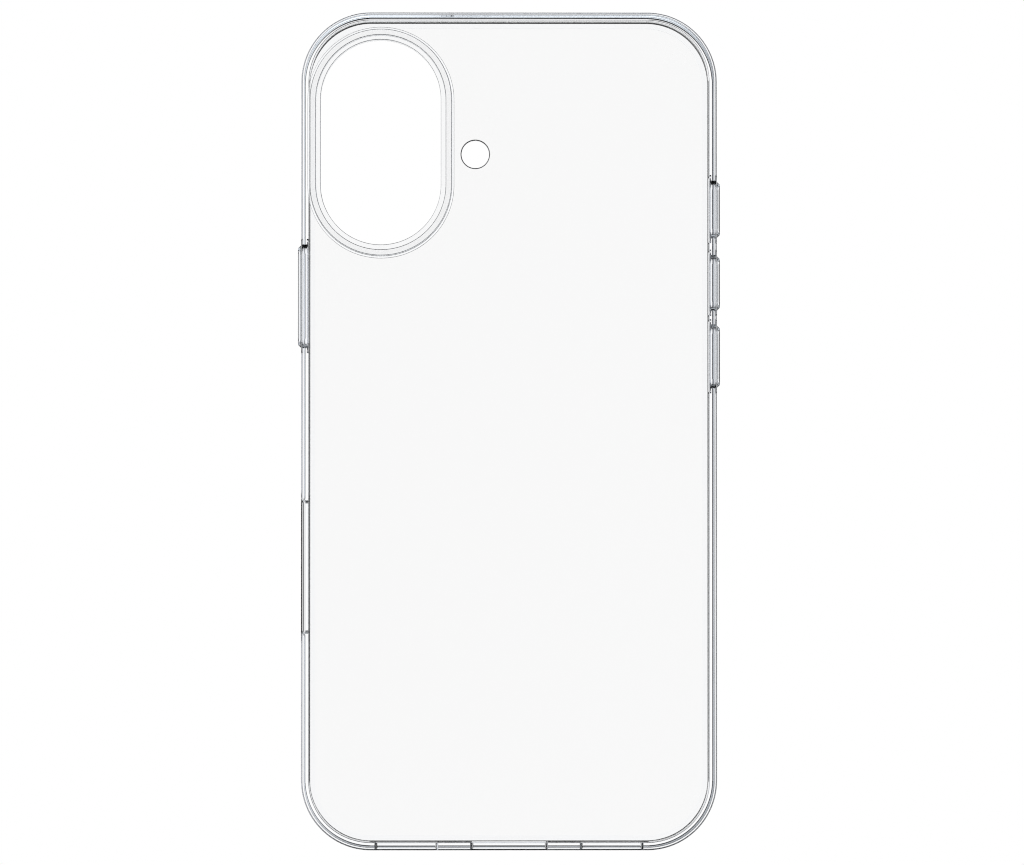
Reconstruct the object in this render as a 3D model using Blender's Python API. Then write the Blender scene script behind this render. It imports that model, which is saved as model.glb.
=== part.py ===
"""Clear phone case, standing on its bottom edge with its back towards -Y.

Pieces: a flexible bumper frame with a lip over the screen's edge, a hard back plate whose
tongue sits in the frame's groove, a raised ring round the camera opening, and four buttons,
each a cap that slides through the wall and a thin soft web that carries it from behind.
Lengths are in metres; MM turns millimetres into metres.

Every piece hangs on one empty at the centre of the back plate's outer face. In that
empty's frame, X runs across, Y runs from the back face towards the screen, and Z runs up.
"""

import math

import bmesh
import bpy
from mathutils import Vector

MM = 0.001

# The phone that the case holds.
PHONE_WIDTH = 71.6 * MM
PHONE_HEIGHT = 147.6 * MM
PHONE_DEPTH = 7.85 * MM
PHONE_CORNER_RADIUS = 10.9 * MM

# Clearances.
JOINT_GAP = 0.05 * MM  # between pieces that touch without moving
SLIDE_GAP = 0.10 * MM  # round a button cap

# Bumper frame. Its wall has an outer skin that stays whole where a pocket or groove is cut.
WALL = 1.7 * MM
SKIN = 0.9 * MM
LIP_RISE = 1.0 * MM  # above the screen
LIP_REACH = 0.7 * MM  # over the screen's edge
BACK_EDGE_RADIUS = 1.4 * MM
FRONT_EDGE_RADIUS = 0.8 * MM
LIP_EDGE_RADIUS = 0.3 * MM

# Back plate, and the groove in the frame that holds its tongue.
PLATE_DEPTH = 1.4 * MM
GROOVE_START = 0.45 * MM
GROOVE_END = 0.95 * MM

# Camera opening and its ring, and the flash hole. "Up" is counted from the bottom edge.
CAMERA_X, CAMERA_UP = -23.1 * MM, 127.4 * MM
CAMERA_WIDTH, CAMERA_LENGTH = 21.6 * MM, 36.9 * MM
RING_RISE = 2.2 * MM
RING_NECK = 0.9 * MM
RING_CREST = 1.9 * MM  # the raised wall's outer face
RING_SHOULDER, RING_FOOT = 2.0 * MM, 2.4 * MM  # the foot is flat to its shoulder, then slopes
RING_FOOT_DEPTH, RING_RIM_DEPTH = 0.35 * MM, 0.2 * MM
RING_EDGE_RADIUS = 0.2 * MM
FLASH_X, FLASH_UP = -6.1 * MM, 125.3 * MM
FLASH_RADIUS = 2.48 * MM

# Buttons: name, side (+1 is +X), height of the centre, and length of the raised pad.
BUTTONS = (
    ("action_button", 1, 115.55 * MM, 10.3 * MM),
    ("volume_up_button", 1, 102.25 * MM, 10.0 * MM),
    ("volume_down_button", 1, 89.0 * MM, 11.4 * MM),
    ("side_button", -1, 99.85 * MM, 18.6 * MM),
)
BUTTON_WIDTH = 4.0 * MM
BUTTON_CORNER = 1.7 * MM
BUTTON_PROUD = 0.6 * MM
BUTTON_SLOPE = 0.45 * MM  # how far the proud edges lean inwards
FLANGE_MARGIN = 0.4 * MM  # the hidden flange round a cap
FLANGE_DEPTH = 0.35 * MM
WEB_SPAN = 0.5 * MM
WEB_DEPTH = 0.2 * MM

# Openings in the frame's wall.
CONTROL_UP = 51.0 * MM  # camera-control opening, on the -X side
CONTROL_LENGTH, CONTROL_WIDTH = 24.0 * MM, 4.6 * MM
CONTROL_FLARE = 2.0 * MM  # extra length at each end of the outer face
PORT_LENGTH, PORT_WIDTH = 14.0 * MM, 6.6 * MM
SPEAKER_X, SPEAKER_LENGTH, SPEAKER_WIDTH = 18.5 * MM, 11.5 * MM, 2.4 * MM
OPENING_CORNER = 0.6 * MM

# Sizes that follow from those above.
CASE_WIDTH = PHONE_WIDTH + 2 * WALL
CASE_HEIGHT = PHONE_HEIGHT + 2 * WALL
CASE_DEPTH = PLATE_DEPTH + PHONE_DEPTH + LIP_RISE
CASE_RADIUS = PHONE_CORNER_RADIUS + WALL
LIP_UNDERSIDE = CASE_DEPTH - LIP_RISE
PHONE_MID_Y = PLATE_DEPTH + PHONE_DEPTH / 2
BACK_FACE_Y = (RING_RISE - CASE_DEPTH) / 2
POCKET_MARGIN = FLANGE_MARGIN + WEB_SPAN + 2 * JOINT_GAP

CORNER_STEPS = 12
END_STEPS = 22
EDGE_STEPS = 4
CUT_MARGIN = 1.0 * MM  # how far a cutter runs past the wall that it opens


def clear_scene():
    for obj in list(bpy.data.objects):
        bpy.data.objects.remove(obj)


def clear_plastic(name, colour, roughness, ior):
    """A see-through plastic as one Principled BSDF."""
    made = bpy.data.materials.new(name)
    made.use_nodes = True
    shader = made.node_tree.nodes["Principled BSDF"]
    shader.inputs["Base Color"].default_value = (*colour, 1.0)
    shader.inputs["Roughness"].default_value = roughness
    shader.inputs["Metallic"].default_value = 0.0
    shader.inputs["IOR"].default_value = ior
    shader.inputs["Transmission Weight"].default_value = 1.0
    return made


def rounded_rectangle(width, height, radius, steps):
    """(across, up) points of a rounded rectangle about the origin, anticlockwise."""
    points = []
    for quarter, (side, end) in enumerate(((1, 1), (-1, 1), (-1, -1), (1, -1))):
        middle_x = side * (width / 2 - radius)
        middle_z = end * (height / 2 - radius)
        for step in range(steps + 1):
            angle = (quarter + step / steps) * math.pi / 2
            x = middle_x + radius * math.cos(angle)
            points.append((x, middle_z + radius * math.sin(angle)))
    return points


def case_outline(inset):
    """The case's outline moved inwards by inset."""
    width = CASE_WIDTH - 2 * inset
    return rounded_rectangle(width, CASE_HEIGHT - 2 * inset, CASE_RADIUS - inset, CORNER_STEPS)


def button_outline(length, outset):
    """A button pad's outline moved outwards by outset."""
    width = BUTTON_WIDTH + 2 * outset
    return rounded_rectangle(width, length + 2 * outset, BUTTON_CORNER + outset, 6)


def stadium(width, length, outset):
    """An upright round-ended slot moved outwards by outset."""
    radius = width / 2 + outset
    points = []
    for end in (1, -1):
        for step in range(END_STEPS + 1):
            angle = math.pi * step / END_STEPS + (0 if end > 0 else math.pi)
            middle = end * (length - width) / 2
            points.append((radius * math.cos(angle), middle + radius * math.sin(angle)))
    return points


def circle(radius):
    angles = [2 * math.pi * step / END_STEPS for step in range(END_STEPS)]
    return [(radius * math.cos(angle), radius * math.sin(angle)) for angle in angles]


def arc(centre, radius, start, end):
    """(inset, depth) points along an arc, with angles in degrees."""
    points = []
    for step in range(EDGE_STEPS + 1):
        angle = math.radians(start + (end - start) * step / EDGE_STEPS)
        x = centre[0] + radius * math.cos(angle)
        points.append((x, centre[1] + radius * math.sin(angle)))
    return points


def upright(outline, depth):
    """Outline points in the XZ plane, at a depth along Y."""
    return [Vector((x, depth, z)) for x, z in outline]


def sideways(outline, reach):
    """Outline points in the YZ plane, at a reach along X."""
    return [Vector((reach, y, z)) for y, z in outline]


def lying(outline, level):
    """Outline points in the XY plane, long side along X, at a level along Z."""
    return [Vector((x, y, level)) for y, x in outline]


def add_object(name, bm, material, parent, location):
    bmesh.ops.recalc_face_normals(bm, faces=bm.faces)
    mesh = bpy.data.meshes.new(name)
    bm.to_mesh(mesh)
    bm.free()
    if material:
        mesh.materials.append(material)
    mesh.shade_smooth()
    mesh.set_sharp_from_angle(angle=math.radians(30))
    obj = bpy.data.objects.new(name, mesh)
    bpy.context.scene.collection.objects.link(obj)
    obj.parent = parent
    obj.location = location
    return obj


def skin(bm, loops):
    """Quads between neighbouring loops of points. Returns the loops of vertices."""
    rings = [[bm.verts.new(point) for point in loop] for loop in loops]
    for first, second in zip(rings, rings[1:]):
        join(bm, first, second)
    return rings


def join(bm, first, second):
    count = len(first)
    for i in range(count):
        j = (i + 1) % count
        bm.faces.new((first[i], first[j], second[j], second[i]))


def band(name, loops, material, parent, location=(0, 0, 0)):
    """A closed band, like a frame or a gasket. The loops trace its cross-section once round."""
    bm = bmesh.new()
    rings = skin(bm, loops)
    join(bm, rings[-1], rings[0])
    return add_object(name, bm, material, parent, location)


def plug(name, loops, material, parent, location=(0, 0, 0)):
    """A solid whose side runs through the loops, with a flat cap at each end."""
    bm = bmesh.new()
    rings = skin(bm, loops)
    bm.faces.new(rings[0])
    bm.faces.new(rings[-1])
    return add_object(name, bm, material, parent, location)


def cut(target, cutter):
    """Takes the cutter's shape out of the target."""
    cutter.hide_render = True
    cutter.display_type = "WIRE"
    modifier = target.modifiers.new(cutter.name, "BOOLEAN")
    modifier.operation = "DIFFERENCE"
    modifier.object = cutter


def height(up):
    """A height above the bottom edge, as Z in the back face's frame."""
    return up - CASE_HEIGHT / 2


def make_bumper_frame(material, parent):
    """Side wall with a groove for the plate's tongue, and a lip over the screen's edge."""
    lip = WALL + LIP_REACH
    lip_corner = (lip - LIP_EDGE_RADIUS, CASE_DEPTH - LIP_EDGE_RADIUS)
    front_corner = (FRONT_EDGE_RADIUS, CASE_DEPTH - FRONT_EDGE_RADIUS)
    profile = [(WALL, 0.0)]
    profile += arc((BACK_EDGE_RADIUS, BACK_EDGE_RADIUS), BACK_EDGE_RADIUS, 270, 180)
    profile += arc(front_corner, FRONT_EDGE_RADIUS, 180, 90)
    profile += arc(lip_corner, LIP_EDGE_RADIUS, 90, 0)
    profile += [
        (lip, LIP_UNDERSIDE),
        (WALL, LIP_UNDERSIDE),
        (WALL, GROOVE_END),
        (SKIN, GROOVE_END),
        (SKIN, GROOVE_START),
        (WALL, GROOVE_START),
    ]
    loops = [upright(case_outline(inset), depth) for inset, depth in profile]
    return band("bumper_frame", loops, material, parent)


def make_back_plate(material, parent):
    """Hard panel with a tongue all round its edge, and the camera and flash openings."""
    panel = WALL + JOINT_GAP
    tongue = SKIN + JOINT_GAP
    profile = (
        (panel, 0.0),
        (panel, GROOVE_START + JOINT_GAP),
        (tongue, GROOVE_START + JOINT_GAP),
        (tongue, GROOVE_END - JOINT_GAP),
        (panel, GROOVE_END - JOINT_GAP),
        (panel, PLATE_DEPTH),
    )
    loops = [upright(case_outline(inset), depth) for inset, depth in profile]
    plate = plug("back_plate", loops, material, parent)
    camera = stadium(CAMERA_WIDTH, CAMERA_LENGTH, RING_NECK + JOINT_GAP)
    openings = (
        ("camera_cutter", camera, CAMERA_X, CAMERA_UP),
        ("flash_cutter", circle(FLASH_RADIUS), FLASH_X, FLASH_UP),
    )
    for name, outline, across, up in openings:
        loops = [upright(outline, -CUT_MARGIN), upright(outline, PLATE_DEPTH + CUT_MARGIN)]
        cut(plate, plug(name, loops, None, parent, (across, 0, height(up))))
    return plate


def make_camera_ring(material, parent):
    """Raised ring. Its neck lines the plate's opening and its foot covers the plate's edge."""
    edge = RING_EDGE_RADIUS
    profile = [
        (0.0, PLATE_DEPTH),
        (RING_NECK, PLATE_DEPTH),
        (RING_NECK, -JOINT_GAP),
        (RING_FOOT, -JOINT_GAP),
        (RING_FOOT, -RING_RIM_DEPTH),
        (RING_SHOULDER, -RING_FOOT_DEPTH),
        (RING_CREST, -RING_FOOT_DEPTH),
    ]
    profile += arc((RING_CREST - edge, edge - RING_RISE), edge, 0, -90)
    profile += arc((edge, edge - RING_RISE), edge, -90, -180)
    loops = []
    for outset, depth in profile:
        loops.append(upright(stadium(CAMERA_WIDTH, CAMERA_LENGTH, outset), depth))
    return band("camera_ring", loops, material, parent, (CAMERA_X, 0, height(CAMERA_UP)))


def make_button_cap(name, length, material, parent, place):
    """A pad that stands proud of the wall, on a wider flange that can't pass the window."""
    root = -(SKIN + JOINT_GAP)
    stations = (
        (root - FLANGE_DEPTH, FLANGE_MARGIN),
        (root, FLANGE_MARGIN),
        (root, 0.0),
        (BUTTON_PROUD - BUTTON_SLOPE, 0.0),
        (BUTTON_PROUD - 0.08 * MM, 0.12 * MM - BUTTON_SLOPE),
        (BUTTON_PROUD, -0.15 * MM - BUTTON_SLOPE),
    )
    loops = [sideways(button_outline(length, outset), reach) for reach, outset in stations]
    return plug(f"{name}_cap", loops, material, parent, place)


def make_button_web(name, length, material, parent, place):
    """A thin ring from the cap's flange to the sides of the pocket in the wall."""
    inner = FLANGE_MARGIN + JOINT_GAP
    outer = inner + WEB_SPAN
    front = -(SKIN + JOINT_GAP)
    back = front - WEB_DEPTH
    stations = ((front, inner), (front, outer), (back, outer), (back, inner))
    loops = [sideways(button_outline(length, outset), reach) for reach, outset in stations]
    return band(f"{name}_web", loops, material, parent, place)


def cut_button_window(name, length, frame, parent, place):
    """The window for the pad, and behind it the wider pocket for the flange and the web."""
    window = (f"{name}_window_cutter", SLIDE_GAP, -WALL, CUT_MARGIN)
    pocket = (f"{name}_pocket_cutter", POCKET_MARGIN, -WALL - CUT_MARGIN, -SKIN)
    cutters = []
    for cutter_name, outset, inner, outer in (window, pocket):
        outline = button_outline(length, outset)
        loops = [sideways(outline, inner), sideways(outline, outer)]
        cutter = plug(cutter_name, loops, None, parent, place)
        cut(frame, cutter)
        cutters.append(cutter)
    return cutters


def make_button(name, side, up, length, cap_material, web_material, frame, parent):
    place = (side * CASE_WIDTH / 2, PHONE_MID_Y, height(up))
    pieces = cut_button_window(name, length, frame, parent, place)
    pieces.append(make_button_cap(name, length, cap_material, parent, place))
    pieces.append(make_button_web(name, length, web_material, parent, place))
    if side < 0:
        for piece in pieces:
            piece.rotation_euler.z = math.pi


def cut_control_opening(frame, parent):
    """Opening over the touch control on the -X side, flared towards the outside."""
    grow = CONTROL_FLARE * (1 + CUT_MARGIN / (WALL / 2))  # the flare, run on past the wall
    stations = ((WALL + CUT_MARGIN, 0.0), (WALL / 2, 0.0), (-CUT_MARGIN, grow))
    loops = []
    for inset, outset in stations:
        width = CONTROL_WIDTH + outset / 2
        length = CONTROL_LENGTH + 2 * outset
        outline = rounded_rectangle(width, length, OPENING_CORNER + outset / 4, 5)
        loops.append(sideways(outline, inset - CASE_WIDTH / 2))
    place = (0, PHONE_MID_Y, height(CONTROL_UP))
    cut(frame, plug("control_cutter", loops, None, parent, place))


def cut_bottom_openings(frame, parent):
    """Charging port in the middle of the bottom edge, with a speaker slot on each side."""
    openings = (
        ("port_cutter", 0.0, PORT_LENGTH, PORT_WIDTH),
        ("left_speaker_cutter", -SPEAKER_X, SPEAKER_LENGTH, SPEAKER_WIDTH),
        ("right_speaker_cutter", SPEAKER_X, SPEAKER_LENGTH, SPEAKER_WIDTH),
    )
    for name, across, length, width in openings:
        outline = rounded_rectangle(width, length, OPENING_CORNER, 5)
        loops = [lying(outline, -CUT_MARGIN), lying(outline, WALL + CUT_MARGIN)]
        place = (across, PHONE_MID_Y, -CASE_HEIGHT / 2)
        cut(frame, plug(name, loops, None, parent, place))


def main():
    clear_scene()
    plate_plastic = clear_plastic("clear_plate_plastic", (0.965, 0.968, 0.97), 0.02, 1.58)
    bumper_rubber = clear_plastic("clear_bumper_rubber", (0.955, 0.965, 0.98), 0.05, 1.50)
    ring_plastic = clear_plastic("clear_ring_plastic", (0.95, 0.955, 0.965), 0.03, 1.58)
    button_plastic = clear_plastic("clear_button_plastic", (0.94, 0.95, 0.965), 0.04, 1.53)
    web_rubber = clear_plastic("clear_web_rubber", (0.95, 0.96, 0.975), 0.10, 1.50)

    back_centre = bpy.data.objects.new("back_face_centre", None)
    bpy.context.scene.collection.objects.link(back_centre)
    back_centre.location = (0, BACK_FACE_Y, CASE_HEIGHT / 2)

    frame = make_bumper_frame(bumper_rubber, back_centre)
    make_back_plate(plate_plastic, back_centre)
    make_camera_ring(ring_plastic, back_centre)
    for name, side, up, length in BUTTONS:
        make_button(name, side, up, length, button_plastic, web_rubber, frame, back_centre)
    cut_control_opening(frame, back_centre)
    cut_bottom_openings(frame, back_centre)


main()
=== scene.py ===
"""Crystal-clear phone case on a bright-field stage, seen from its back."""

import math

import bmesh
import bpy
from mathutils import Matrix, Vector


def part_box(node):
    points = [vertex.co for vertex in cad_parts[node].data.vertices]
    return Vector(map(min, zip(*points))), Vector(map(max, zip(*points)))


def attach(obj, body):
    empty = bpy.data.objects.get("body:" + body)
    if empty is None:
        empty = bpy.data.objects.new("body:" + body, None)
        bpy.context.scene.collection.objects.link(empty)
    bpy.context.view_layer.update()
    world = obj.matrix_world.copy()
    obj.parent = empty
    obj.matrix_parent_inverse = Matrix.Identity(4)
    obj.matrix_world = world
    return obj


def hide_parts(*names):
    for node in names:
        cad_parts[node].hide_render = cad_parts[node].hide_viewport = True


MM = 0.001

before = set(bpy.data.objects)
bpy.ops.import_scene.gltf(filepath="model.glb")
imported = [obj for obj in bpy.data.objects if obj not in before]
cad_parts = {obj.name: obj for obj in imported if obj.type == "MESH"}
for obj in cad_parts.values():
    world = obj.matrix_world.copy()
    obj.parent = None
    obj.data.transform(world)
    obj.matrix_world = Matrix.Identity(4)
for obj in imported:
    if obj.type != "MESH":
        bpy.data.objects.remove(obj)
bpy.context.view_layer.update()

frame_low, frame_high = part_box("bumper_frame")
plate_low, plate_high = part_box("back_plate")
ring_low, ring_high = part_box("camera_ring")

WIDTH = frame_high.x - frame_low.x
HEIGHT = frame_high.z - frame_low.z
DEPTH = frame_high.y - frame_low.y
BACK_Y = frame_low.y
MID_Z = (frame_low.z + frame_high.z) / 2

# Gaps between pieces: fixed ones, and round a button that slides.
JOINT_GAP = 0.05 * MM
SLIDE_GAP = 0.1 * MM

# The wall's cross-section, as insets from the outline and depths from the back face.
OUTER_RADIUS = 12.6 * MM
WALL = 1.7 * MM
SEAM = WALL  # where the frame meets the plate
INNER = 1.34 * MM  # the frame's inner face in front of the plate
FINE_EDGE = 0.02 * MM
BACK_INSET, BACK_ROUNDING = 0.22 * MM, 0.48 * MM
SIDE_DEPTH, SIDE_ROUNDING = 1.0 * MM, 3.5 * MM  # where the side starts to taper
FRONT_TAPER, FRONT_ROUNDING = 0.34 * MM, 0.89 * MM
LIP_REACH = 0.7 * MM
LIP_SLOPE = 0.41 * MM
LIP_RISE = 0.85 * MM
LIP_CHAMFER = 0.17 * MM
LEDGE_ROUNDING = 0.15 * MM

# The back plate, inset by a little more than the seam.
PLATE_DEPTH = plate_high.y - plate_low.y
PLATE_INSET = SEAM + 0.01 * MM
PLATE_STRIP = 4 * MM  # a strip of narrow faces just inside the plate's edge

# Camera opening, its ring and the flash hole. The ring's widths count outwards from the
# opening, and its rises from the plate's outer face.
CAMERA_SIZE = (21.6 * MM, 36.9 * MM)
RING_PLACE = ((ring_low.x + ring_high.x) / 2, (ring_low.z + ring_high.z) / 2)
RING_RISE = plate_low.y - ring_low.y
RING_NECK, NECK_ROUNDING = 0.9 * MM, 0.04 * MM
RING_FOOT, FOOT_RISE, FOOT_ROUNDING = 2.4 * MM, 0.2 * MM, 0.12 * MM
RING_SHOULDER, SHOULDER_RISE, SHOULDER_ROUNDING = 1.98 * MM, 0.35 * MM, 0.1 * MM
RING_CREST, CREST_ROUNDING = 1.92 * MM, 0.18 * MM
RING_LEDGE, LEDGE_DROP, LEDGE_CORNER = 0.97 * MM, 0.1 * MM, 0.03 * MM  # inside the crest
MOUTH_ROUNDING = 0.15 * MM
FLASH_PLACE = (-6.1 * MM, 125.3 * MM)
FLASH_RADIUS = 2.48 * MM
FLASH_BEVEL = 0.18 * MM

# Buttons.
BUTTONS = ("action_button", "volume_up_button", "volume_down_button", "side_button")
BUTTON_CORNER = 1.7 * MM
PROUD = 0.6 * MM
SLOPE = 0.55 * MM
SLOPE_ROUNDING, TOP_ROUNDING = 0.1 * MM, 0.12 * MM
TOP_INSET, BACK_FACE_INSET = 1.2 * MM, 1.0 * MM  # from the pad's outline to a cap's end faces
SKIN = 1.05 * MM  # the wall's thickness in front of a flange
WINDOW_BEVEL = 0.05 * MM
FLANGE_MARGIN = 0.4 * MM
FLANGE_DEPTH = 0.2 * MM
WEB_SPAN = 0.5 * MM
WEB_THICKNESS = 0.15 * MM
WEB_FOLD = 0.05 * MM
WEB_STEPS = 12
POCKET_MARGIN = FLANGE_MARGIN + WEB_SPAN + 2 * JOINT_GAP
POCKET_CORNER = 0.6 * MM

# Other openings in the wall.
CONTROL_UP = 51.0 * MM
CONTROL_SIZE = (4.6 * MM, 24.0 * MM)
CONTROL_FLARE = 4.36 * MM  # how far its ends have opened where the cutter stops outside
PORT_SIZE = (6.6 * MM, 14.0 * MM)
SPEAKER_X = 18.5 * MM
SPEAKER_SIZE = (2.4 * MM, 11.5 * MM)
OPENING_CORNER = 0.6 * MM
OPENING_BEVEL = 0.25 * MM
PHONE_MID_Y = BACK_Y + PLATE_DEPTH + 3.925 * MM

CUT_BEYOND = 1.0 * MM  # how far a cutter reaches past the faces that it opens
CORNER_STEPS = 40
OPENING_STEPS = 12
ARC_STEPS = 14
SHARP_ANGLE = math.radians(28)


# ---------------------------------------------------------------- shapes

def rounded_rectangle(width, height, radius, steps):
    """(across, up) points of a rounded rectangle about the origin."""
    points = []
    for quarter, (side, end) in enumerate(((1, 1), (-1, 1), (-1, -1), (1, -1))):
        middle_x = side * (width / 2 - radius)
        middle_z = end * (height / 2 - radius)
        for step in range(steps + 1):
            angle = (quarter + step / steps) * math.pi / 2
            x = middle_x + radius * math.cos(angle)
            points.append((x, middle_z + radius * math.sin(angle)))
    return points


def case_outline(inset):
    """The case's outline moved inwards by inset."""
    radius = OUTER_RADIUS - inset
    return rounded_rectangle(WIDTH - 2 * inset, HEIGHT - 2 * inset, radius, CORNER_STEPS)


def stadium(size, outset, steps=64):
    """An upright round-ended slot moved outwards by outset."""
    width, length = size
    radius = width / 2 + outset
    points = []
    for end in (1, -1):
        for step in range(steps + 1):
            angle = math.pi * step / steps + (0 if end > 0 else math.pi)
            middle = end * (length - width) / 2
            points.append((radius * math.cos(angle), middle + radius * math.sin(angle)))
    return points


def circle(radius, steps=96):
    angles = [2 * math.pi * step / steps for step in range(steps)]
    return [(radius * math.cos(angle), radius * math.sin(angle)) for angle in angles]


def soften(profile):
    """Rounds each (x, y, radius) corner of a closed profile. Radius 0 keeps a corner sharp."""
    arc_angle = math.radians(90 / ARC_STEPS)
    count = len(profile)
    points = []
    for i in range(count):
        x, y, radius = profile[i]
        if radius <= 0:
            points.append((x, y))
            continue
        corner = Vector((x, y))
        before = (Vector(profile[i - 1][:2]) - corner).normalized()
        after = (Vector(profile[(i + 1) % count][:2]) - corner).normalized()
        half = before.angle(after) / 2
        reach = radius / math.tan(half)
        centre = corner + (before + after).normalized() * radius / math.sin(half)
        first = corner + before * reach - centre
        last = corner + after * reach - centre
        turn = math.atan2(first.x * last.y - first.y * last.x, first.dot(last))
        start = math.atan2(first.y, first.x)
        pieces = max(4, round(abs(turn) / arc_angle))
        for k in range(pieces + 1):
            angle = start + turn * k / pieces
            along = centre.x + radius * math.cos(angle)
            points.append((along, centre.y + radius * math.sin(angle)))
    return points


def upright(outline, depth, centre=(0.0, 0.0)):
    """Outline points in a plane parallel to the back face."""
    return [Vector((x + centre[0], BACK_Y + depth, z + centre[1])) for x, z in outline]


def lying(outline, level, across):
    """Outline points in a level plane at the bottom edge, long side along X."""
    return [Vector((x + across, y + PHONE_MID_Y, level)) for y, x in outline]


def join(bm, first, second):
    """A ring of four-sided faces between two loops of as many points."""
    count = len(first)
    for i in range(count):
        j = (i + 1) % count
        bm.faces.new((first[i], first[j], second[j], second[i]))


def add_object(name, bm, material):
    """Turns the bmesh into an object, smooth except at sharp edges."""
    bmesh.ops.recalc_face_normals(bm, faces=bm.faces)
    mesh = bpy.data.meshes.new(name)
    bm.to_mesh(mesh)
    bm.free()
    if material:
        mesh.materials.append(material)
    mesh.shade_smooth()
    mesh.set_sharp_from_angle(angle=SHARP_ANGLE)
    obj = bpy.data.objects.new(name, mesh)
    bpy.context.scene.collection.objects.link(obj)
    return obj


def band(name, loops, material):
    """A closed band. The loops trace its cross-section once round."""
    bm = bmesh.new()
    rings = [[bm.verts.new(point) for point in loop] for loop in loops]
    for first, second in zip(rings, rings[1:] + rings[:1]):
        join(bm, first, second)
    return add_object(name, bm, material)


def plug(name, loops, material=None):
    """A solid whose side runs through the loops, with a flat cap at each end."""
    bm = bmesh.new()
    rings = [[bm.verts.new(point) for point in loop] for loop in loops]
    for first, second in zip(rings, rings[1:]):
        join(bm, first, second)
    bm.faces.new(rings[0])
    bm.faces.new(rings[-1])
    return add_object(name, bm, material)


def carve(obj, cutters):
    """Takes the cutters out of the object for good and removes them."""
    for cutter in cutters:
        modifier = obj.modifiers.new(cutter.name, "BOOLEAN")
        modifier.operation = "DIFFERENCE"
        modifier.solver = "EXACT"
        modifier.object = cutter
    graph = bpy.context.evaluated_depsgraph_get()
    carved = bpy.data.meshes.new_from_object(obj.evaluated_get(graph))
    obj.modifiers.clear()
    obj.data = carved
    carved.shade_smooth()
    carved.set_sharp_from_angle(angle=SHARP_ANGLE)
    for cutter in cutters:
        bpy.data.objects.remove(cutter)


def place(obj, node, body):
    """Keeps flat faces flat in the shading, and puts the piece in the frame."""
    modifier = obj.modifiers.new("flat_faces_stay_flat", "WEIGHTED_NORMAL")
    modifier.mode = "FACE_AREA"
    modifier.weight = 100
    modifier.keep_sharp = True
    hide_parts(node)
    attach(obj, body)


# ---------------------------------------------------------------- materials

def noise(nodes, links, coords, size, detail, distortion=0.0):
    """Noise in the object's own coordinates, with features of about the given size."""
    node = nodes.new("ShaderNodeTexNoise")
    node.inputs["Scale"].default_value = 1 / size
    node.inputs["Detail"].default_value = detail
    node.inputs["Distortion"].default_value = distortion
    links.new(coords.outputs["Object"], node.inputs["Vector"])
    return node.outputs["Fac"]


def bump(nodes, links, height, distance):
    node = nodes.new("ShaderNodeBump")
    node.inputs["Strength"].default_value = 1.0
    node.inputs["Distance"].default_value = distance
    links.new(height, node.inputs["Height"])
    return node


def clear_plastic(name, ior, tint, haze, swirl, swirl_size, grain, grain_size, gloss=1.0):
    """See-through plastic. Haze and surface waviness vary slowly, as moulded parts' do."""
    made = bpy.data.materials.new(name)
    made.use_nodes = True
    nodes, links = made.node_tree.nodes, made.node_tree.links
    shader = nodes["Principled BSDF"]
    shader.inputs["IOR"].default_value = ior
    shader.inputs["Transmission Weight"].default_value = 1.0
    shader.inputs["Specular Tint"].default_value = (gloss, gloss, gloss, 1.0)
    coords = nodes.new("ShaderNodeTexCoord")
    flow = noise(nodes, links, coords, swirl_size, detail=2.0, distortion=0.6)
    fine = noise(nodes, links, coords, grain_size, detail=3.0)

    cloud = nodes.new("ShaderNodeMapRange")
    cloud.inputs["From Min"].default_value = 0.35
    cloud.inputs["From Max"].default_value = 0.65
    cloud.inputs["To Min"].default_value = haze * 0.3
    cloud.inputs["To Max"].default_value = haze
    links.new(flow, cloud.inputs["Value"])
    links.new(cloud.outputs["Result"], shader.inputs["Roughness"])

    colour = nodes.new("ShaderNodeMix")
    colour.data_type = "RGBA"
    colour.inputs["A"].default_value = (*tint, 1.0)
    colour.inputs["B"].default_value = (*(0.5 + 0.5 * value for value in tint), 1.0)
    links.new(flow, colour.inputs["Factor"])
    links.new(colour.outputs["Result"], shader.inputs["Base Color"])

    wavy = bump(nodes, links, flow, swirl)
    rough = bump(nodes, links, fine, grain)
    links.new(wavy.outputs["Normal"], rough.inputs["Normal"])
    links.new(rough.outputs["Normal"], shader.inputs["Normal"])
    return made


# ---------------------------------------------------------------- frame, plate and ring

def make_frame():
    """The soft frame: side wall, lip over the screen's edge, and the wall's openings."""
    lip = WALL + LIP_REACH
    underside = DEPTH - LIP_RISE
    profile = soften([
        (SEAM, 0.0, FINE_EDGE),
        (BACK_INSET, 0.0, BACK_ROUNDING),
        (0.0, SIDE_DEPTH, SIDE_ROUNDING),
        (FRONT_TAPER, DEPTH, FRONT_ROUNDING),
        (lip, DEPTH - LIP_SLOPE, 0.0),
        (lip, underside, 0.0),
        (INNER + LIP_CHAMFER, underside, 0.0),
        (INNER, underside - LIP_CHAMFER, 0.0),
        (INNER, PLATE_DEPTH, LEDGE_ROUNDING),
        (SEAM, PLATE_DEPTH, 0.0),
    ])
    loops = [upright(case_outline(inset), depth, (0, MID_Z)) for inset, depth in profile]
    obj = band("clear_bumper", loops, RUBBER)
    cutters = [make_button_cutter(name) for name in BUTTONS]
    cutters.append(make_control_cutter())
    cutters += make_bottom_cutters()
    carve(obj, cutters)
    place(obj, "bumper_frame", "case_body")


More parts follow.
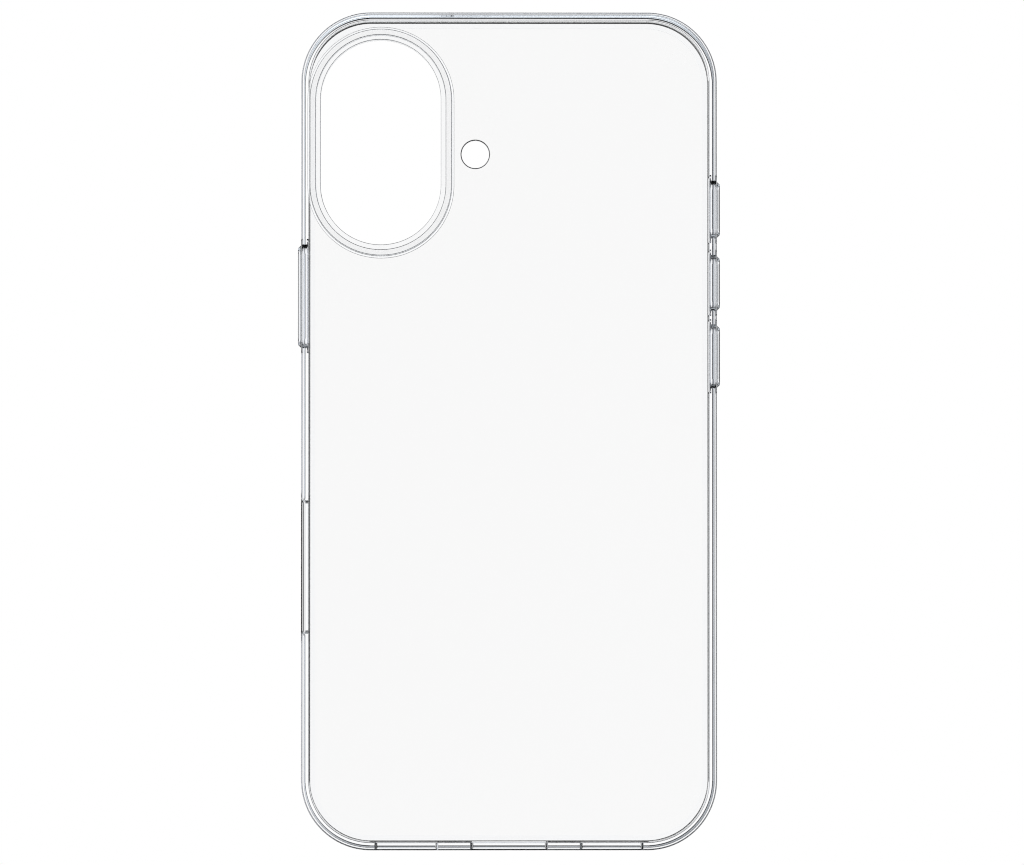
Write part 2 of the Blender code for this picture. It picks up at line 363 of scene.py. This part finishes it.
def make_control_cutter():
    """The camera control's opening in the left side, flared from mid-wall outwards."""
    width, length = CONTROL_SIZE
    past_wall = 1.2 * MM
    loops = []
    for inset, flare in ((WALL + past_wall, 0.0), (WALL / 2, 0.0), (-CUT_BEYOND, CONTROL_FLARE)):
        outline = rounded_rectangle(
            width + flare / 2, length + 2 * flare, OPENING_CORNER + flare / 4, OPENING_STEPS
        )
        x = inset - WIDTH / 2
        loops.append([Vector((x, PHONE_MID_Y + y, CONTROL_UP + z)) for y, z in outline])
    return plug("control_cut", loops)


def make_bottom_cutters():
    """The port and two speaker slots in the bottom edge, each with a bevelled rim."""
    openings = (
        ("port_cut", 0.0, PORT_SIZE),
        ("left_speaker_cut", -SPEAKER_X, SPEAKER_SIZE),
        ("right_speaker_cut", SPEAKER_X, SPEAKER_SIZE),
    )
    stations = (
        (-CUT_BEYOND, OPENING_BEVEL),
        (0.0, OPENING_BEVEL),
        (0.07 * MM, OPENING_BEVEL * 0.3),  # most of the bevel is in its first stretch
        (OPENING_BEVEL, 0.0),
        (WALL + CUT_BEYOND, 0.0),
    )
    cutters = []
    for name, across, (width, length) in openings:
        loops = []
        for level, grow in stations:
            outline = rounded_rectangle(
                width + 2 * grow, length + 2 * grow, OPENING_CORNER + grow, OPENING_STEPS
            )
            loops.append(lying(outline, level, across))
        cutters.append(plug(name, loops))
    return cutters


def make_plate():
    """The flat back panel with the camera opening and the flash hole."""
    profile = soften([
        (PLATE_INSET + PLATE_STRIP, 0.0, 0.0),
        (PLATE_INSET, 0.0, FINE_EDGE),
        (PLATE_INSET, PLATE_DEPTH, FINE_EDGE),
        (PLATE_INSET + PLATE_STRIP, PLATE_DEPTH, 0.0),
    ])
    loops = [upright(case_outline(inset), depth, (0, MID_Z)) for inset, depth in profile]
    obj = plug("clear_back_panel", loops, HARD)

    hole = stadium(CAMERA_SIZE, RING_NECK + JOINT_GAP)
    ends = (-2 * MM, 4 * MM)
    camera = plug("camera_cut", [upright(hole, depth, RING_PLACE) for depth in ends])
    stations = (
        (-CUT_BEYOND, FLASH_BEVEL),
        (0.0, FLASH_BEVEL),
        (FLASH_BEVEL, 0.0),
        (PLATE_DEPTH, 0.0),
        (PLATE_DEPTH + CUT_BEYOND, 0.0),
    )
    loops = [upright(circle(FLASH_RADIUS + grow), depth, FLASH_PLACE) for depth, grow in stations]
    carve(obj, [camera, plug("flash_cut", loops)])
    place(obj, "back_plate", "case_body")


def make_ring():
    """The camera ring: a neck in the plate's opening, a flat foot and a raised wall."""
    ledge = LEDGE_DROP - RING_RISE
    profile = soften([
        (0.0, PLATE_DEPTH, NECK_ROUNDING),
        (RING_NECK, PLATE_DEPTH, NECK_ROUNDING),
        (RING_NECK, -JOINT_GAP, 0.0),
        (RING_FOOT, -JOINT_GAP, 0.0),
        (RING_FOOT, -FOOT_RISE, FOOT_ROUNDING),
        (RING_SHOULDER, -SHOULDER_RISE, SHOULDER_ROUNDING),
        (RING_CREST, -RING_RISE, CREST_ROUNDING),
        (RING_LEDGE, -RING_RISE, LEDGE_CORNER),
        (RING_LEDGE - LEDGE_DROP, ledge, LEDGE_CORNER),
        (0.0, ledge, MOUTH_ROUNDING),
    ])
    outlines = [(stadium(CAMERA_SIZE, outset), depth) for outset, depth in profile]
    loops = [upright(outline, depth, RING_PLACE) for outline, depth in outlines]
    obj = band("clear_camera_ring", loops, RING)
    place(obj, "camera_ring", "case_body")


# ---------------------------------------------------------------- buttons

def button_place(name):
    """Which side a button is on, how long and wide its pad is, and where its middle is."""
    low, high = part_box(f"{name}_cap")
    middle = (low + high) / 2
    side = 1 if middle.x > 0 else -1
    size = (high.y - low.y - 2 * FLANGE_MARGIN, high.z - low.z - 2 * FLANGE_MARGIN)
    return side, size, middle


def pad(name, reach, outset, corner=BUTTON_CORNER, steps=16):
    """The button pad's outline moved outwards by outset, at a reach beyond the wall."""
    side, (width, length), middle = button_place(name)
    outline = rounded_rectangle(width + 2 * outset, length + 2 * outset, corner + outset, steps)
    x = side * (WIDTH / 2 + reach)
    return [Vector((x, middle.y + y, middle.z + z)) for y, z in outline]


def make_button_cutter(name):
    """The window for the pad, and behind it the wider pocket for the flange and the web."""
    pocket = POCKET_CORNER - POCKET_MARGIN
    stations = (
        (-WALL - CUT_BEYOND, POCKET_MARGIN, pocket),
        (-SKIN, POCKET_MARGIN, pocket),
        (-SKIN, SLIDE_GAP, BUTTON_CORNER),
        (-WINDOW_BEVEL, SLIDE_GAP, BUTTON_CORNER),
        (0.0, SLIDE_GAP + WINDOW_BEVEL, BUTTON_CORNER),
        (CUT_BEYOND, SLIDE_GAP + WINDOW_BEVEL, BUTTON_CORNER),
    )
    return plug(f"{name}_cut", [pad(name, *station) for station in stations])


def make_button(name):
    """A cap: a pad with sloped sides, and a thin flange that keeps it behind the wall's skin."""
    root = -(SKIN + JOINT_GAP)
    profile = soften([
        (root - FLANGE_DEPTH, -BACK_FACE_INSET, 0.0),
        (root - FLANGE_DEPTH, FLANGE_MARGIN, FINE_EDGE),
        (root, FLANGE_MARGIN, FINE_EDGE),
        (root, 0.0, FINE_EDGE),
        (PROUD - SLOPE, 0.0, SLOPE_ROUNDING),
        (PROUD, -SLOPE, TOP_ROUNDING),
        (PROUD, -TOP_INSET, 0.0),
    ])
    obj = plug(f"clear_{name}_cap", [pad(name, reach, outset) for reach, outset in profile], CAP)
    place(obj, f"{name}_cap", name)


def make_web(name):
    """A thin soft ring with one shallow fold, so that the cap can move."""
    inner = FLANGE_MARGIN + JOINT_GAP
    front = -(SKIN + JOINT_GAP)
    face = []
    for step in range(WEB_STEPS + 1):
        share = step / WEB_STEPS
        dip = WEB_FOLD * math.sin(math.pi * share) ** 2
        outset = share * WEB_SPAN + inner
        corner = (1 - share) * (BUTTON_CORNER + inner) + share * POCKET_CORNER
        face.append((front - dip, outset, corner - outset))
    back = [(reach - WEB_THICKNESS, outset, corner) for reach, outset, corner in reversed(face)]
    obj = band(f"clear_{name}_web", [pad(name, *point) for point in face + back], WEB)
    place(obj, f"{name}_web", "case_body")


# ---------------------------------------------------------------- stage

COOLNESS = 1.07  # blue to green, and green to red, in the light behind the camera


def ramp(nodes, stops):
    """A ramp over signed angles in degrees: -180 at its start and 180 at its end.

    The light behind the camera is a little cooler, except right behind it.
    """
    node = nodes.new("ShaderNodeValToRGB")
    elements = node.color_ramp.elements
    while len(elements) > 1:
        elements.remove(elements[-1])
    for i, (angle, value) in enumerate(stops):
        position = 0.5 + angle / 360
        if i:
            element = elements.new(position)
        else:
            element = elements[0]
            element.position = position
        cool = COOLNESS if 90 < abs(angle) < 180 else 1.0
        element.color = (value / cool, value, value * cool, 1)
    return node


# Brightness of the studio by the direction in which a ray leaves the case, as signed
# angles from the camera's line of sight in degrees: positive to the right, and upwards.
ACROSS = (
    (-180, 0.35), (-165, 0.55), (-100, 0.55), (-80, 0.0), (-30, 0.0), (-24, 0.1),
    (-18.5, 0.08), (-16.5, 1.0), (-13, 1.1), (-8, 1.0), (8, 1.0), (13, 1.1), (17, 0.9),
    (21, 0.15), (36, 0.15), (42, 0.8), (100, 0.8), (150, 0.8), (180, 0.35),
)
UPWARDS = (
    (-180, 0.35), (-160, 1.2), (-110, 1.4), (-95, 0.3), (-80, 0.0), (-13.5, 0.0), (-11.5, 1.0),
    (-8, 1.0), (8, 1.0), (14, 1.05), (17, 0.9), (20, 0.0), (80, 0.0), (95, 0.2),
    (120, 0.3), (180, 0.35),
)


def maths(nodes, links, operation, *values):
    """A math node. Each value is a number or another node's socket."""
    node = nodes.new("ShaderNodeMath")
    node.operation = operation
    for i, value in enumerate(values):
        if isinstance(value, (int, float)):
            node.inputs[i].default_value = value
        else:
            links.new(value, node.inputs[i])
    return node.outputs[0]


def bright_field_group():
    """White straight ahead of the camera, with dark and light zones to the sides."""
    group = bpy.data.node_groups.new("bright_field", "ShaderNodeTree")
    group.interface.new_socket("Direction", in_out="INPUT", socket_type="NodeSocketVector")
    group.interface.new_socket("Colour", in_out="OUTPUT", socket_type="NodeSocketColor")
    nodes, links = group.nodes, group.links
    entry = nodes.new("NodeGroupInput")
    result = nodes.new("NodeGroupOutput")
    turn = nodes.new("ShaderNodeVectorTransform")
    turn.vector_type = "VECTOR"
    turn.convert_from = "WORLD"
    turn.convert_to = "CAMERA"
    links.new(entry.outputs[0], turn.inputs[0])
    norm = nodes.new("ShaderNodeVectorMath")
    norm.operation = "NORMALIZE"
    links.new(turn.outputs[0], norm.inputs[0])
    split = nodes.new("ShaderNodeSeparateXYZ")
    links.new(norm.outputs[0], split.inputs[0])
    across, up, ahead = split.outputs

    angle = maths(nodes, links, "ARCCOSINE", maths(nodes, links, "MAXIMUM", ahead, -1.0))
    half_turns = maths(nodes, links, "MULTIPLY", angle, 0.5 / math.pi)
    tones = []
    for part, stops in ((across, ACROSS), (up, UPWARDS)):
        sign = maths(nodes, links, "SIGN", part)
        position = maths(nodes, links, "MULTIPLY_ADD", half_turns, sign, 0.5)
        tone = ramp(nodes, stops)
        links.new(position, tone.inputs[0])
        tones.append(tone.outputs[0])
    side = maths(nodes, links, "MULTIPLY", across, across)
    rise = maths(nodes, links, "MULTIPLY", up, up)
    total = maths(nodes, links, "ADD", maths(nodes, links, "ADD", side, rise), 1e-6)
    share = maths(nodes, links, "DIVIDE", rise, total)
    mix = nodes.new("ShaderNodeMix")
    mix.data_type = "RGBA"
    links.new(share, mix.inputs["Factor"])
    links.new(tones[0], mix.inputs["A"])
    links.new(tones[1], mix.inputs["B"])
    links.new(mix.outputs["Result"], result.inputs[0])
    return group


def make_world(group):
    """The bright field all round."""
    world = bpy.data.worlds.new("bright_field_world")
    bpy.context.scene.world = world
    world.use_nodes = True
    nodes, links = world.node_tree.nodes, world.node_tree.links
    nodes.clear()
    coords = nodes.new("ShaderNodeTexCoord")
    field = nodes.new("ShaderNodeGroup")
    field.node_tree = group
    back = nodes.new("ShaderNodeBackground")
    out = nodes.new("ShaderNodeOutputWorld")
    links.new(coords.outputs["Generated"], field.inputs[0])
    links.new(field.outputs[0], back.inputs[0])
    links.new(back.outputs[0], out.inputs[0])


def make_floor(group):
    """A floor under the case that glows as the bright field does, so it can't be seen."""
    pale = bpy.data.materials.new("pale_floor")
    pale.use_nodes = True
    nodes, links = pale.node_tree.nodes, pale.node_tree.links
    nodes.clear()
    geometry = nodes.new("ShaderNodeNewGeometry")
    flip = nodes.new("ShaderNodeVectorMath")
    flip.operation = "SCALE"
    flip.inputs["Scale"].default_value = -1.0
    field = nodes.new("ShaderNodeGroup")
    field.node_tree = group
    glow = nodes.new("ShaderNodeEmission")
    out = nodes.new("ShaderNodeOutputMaterial")
    links.new(geometry.outputs["Incoming"], flip.inputs[0])
    links.new(flip.outputs[0], field.inputs[0])
    links.new(field.outputs[0], glow.inputs[0])
    links.new(glow.outputs[0], out.inputs[0])

    radius = 1.5
    levels = (-4 * MM, -0.2 * MM)
    loops = [[Vector((*point, level)) for point in circle(radius)] for level in levels]
    plug("pale_floor", loops, pale)


def make_camera():
    """Almost straight on to the back face, from a little below and to the left of its middle."""
    distance = 1.3
    view_width = 184.83 * MM
    place_x, below = -10.2 * MM, 23.9 * MM
    target = Vector((0.51 * MM, BACK_Y, MID_Z - 0.3 * MM))
    data = bpy.data.cameras.new("camera")
    camera = bpy.data.objects.new("camera", data)
    bpy.context.scene.collection.objects.link(camera)
    camera.location = Vector((place_x, -distance, MID_Z - below))
    camera.rotation_euler = (target - camera.location).to_track_quat("-Z", "Y").to_euler()
    data.sensor_fit = "HORIZONTAL"
    data.sensor_width = 36
    data.lens = data.sensor_width * distance / view_width
    data.clip_start = 0.01
    bpy.context.scene.camera = camera


# ---------------------------------------------------------------- the whole picture

RUBBER = clear_plastic(
    "clear_tpu", ior=1.50, tint=(0.985, 0.99, 1.0), haze=0.01,
    swirl=2e-6, swirl_size=0.02, grain=1e-7, grain_size=0.001, gloss=0.3,
)
HARD = clear_plastic(
    "clear_polycarbonate", ior=1.56, tint=(1.0, 1.0, 1.0), haze=0.005,
    swirl=1e-6, swirl_size=0.03, grain=0.0, grain_size=0.001,
)
RING = clear_plastic(
    "clear_ring_plastic", ior=1.55, tint=(0.99, 0.993, 1.0), haze=0.1,
    swirl=1e-6, swirl_size=0.01, grain=1e-7, grain_size=0.001,
)
CAP = clear_plastic(
    "clear_button_plastic", ior=1.53, tint=(0.98, 0.985, 1.0), haze=0.0,
    swirl=1e-6, swirl_size=0.004, grain=2e-7, grain_size=0.0005, gloss=0.2,
)
WEB = clear_plastic(
    "clear_web_rubber", ior=1.50, tint=(0.98, 0.985, 1.0), haze=0.0,
    swirl=1e-6, swirl_size=0.002, grain=4e-7, grain_size=0.0003, gloss=0.2,
)

make_frame()
make_plate()
make_ring()
for button in BUTTONS:
    make_button(button)
    make_web(button)
bright_field = bright_field_group()
make_world(bright_field)
make_floor(bright_field)
make_camera()

scene = bpy.context.scene
scene.view_settings.view_transform = "Standard"
scene.render.film_transparent = False
scene.cycles.filter_width = 1.1

# Enough bounces for light that passes through many clear walls.
scene.cycles.max_bounces = 24
scene.cycles.transmission_bounces = 24
scene.cycles.glossy_bounces = 12
scene.cycles.transparent_max_bounces = 16
